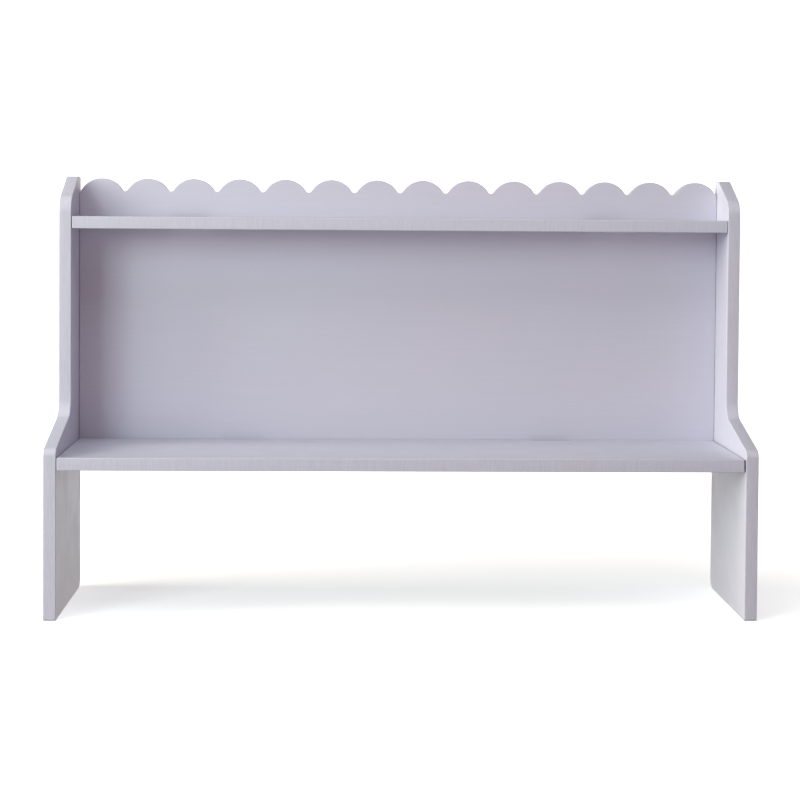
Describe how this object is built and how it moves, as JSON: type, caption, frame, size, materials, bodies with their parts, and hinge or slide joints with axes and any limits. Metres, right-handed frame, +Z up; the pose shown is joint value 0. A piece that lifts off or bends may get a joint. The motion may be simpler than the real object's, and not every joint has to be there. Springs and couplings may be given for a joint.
{
  "type": "desk hutch",
  "caption": "Free-standing painted desk hutch: stepped side panels, a deep lower shelf, a narrow top shelf and a back with a scalloped top edge.",
  "frame": {"origin": "middle of the footprint on the desk top, under the two legs", "axes": "+X across the hutch to the right of someone facing it, +Y from its front to its back, +Z up"},
  "size_m": [1, 0.235, 0.622],
  "materials": {
    "painted_board": "lavender satin paint on board",
    "dowel_wood": "plain fluted beech",
    "bolt_steel": "bright zinc plating",
    "cam_zinc": "plain die-cast zinc",
    "screw_steel": "bright zinc plating"
  },
  "bodies": {
    "root": {"side_panel_left": "painted_board", "side_panel_right": "painted_board", "lower_shelf": "painted_board", "top_shelf": "painted_board", "back_panel": "painted_board", "lower_shelf_dowel_left_front": "dowel_wood", "lower_shelf_dowel_left_rear": "dowel_wood", "lower_shelf_dowel_right_front": "dowel_wood", "lower_shelf_dowel_right_rear": "dowel_wood", "top_shelf_dowel_left_front": "dowel_wood", "top_shelf_dowel_left_rear": "dowel_wood", "top_shelf_dowel_right_front": "dowel_wood", "top_shelf_dowel_right_rear": "dowel_wood", "lower_shelf_cam_bolt_left_front": "bolt_steel", "lower_shelf_cam_left_front": "cam_zinc", "lower_shelf_cam_bolt_left_rear": "bolt_steel", "lower_shelf_cam_left_rear": "cam_zinc", "lower_shelf_cam_bolt_right_front": "bolt_steel", "lower_shelf_cam_right_front": "cam_zinc", "lower_shelf_cam_bolt_right_rear": "bolt_steel", "lower_shelf_cam_right_rear": "cam_zinc", "top_shelf_cam_bolt_left_middle": "bolt_steel", "top_shelf_cam_left_middle": "cam_zinc", "top_shelf_cam_bolt_right_middle": "bolt_steel", "top_shelf_cam_right_middle": "cam_zinc", "lower_shelf_back_screw_1": "screw_steel", "lower_shelf_back_screw_2": "screw_steel", "lower_shelf_back_screw_3": "screw_steel", "lower_shelf_back_screw_4": "screw_steel", "top_shelf_back_screw_1": "screw_steel", "top_shelf_back_screw_2": "screw_steel", "top_shelf_back_screw_3": "screw_steel", "top_shelf_back_screw_4": "screw_steel"}
  },
  "joints": []
}
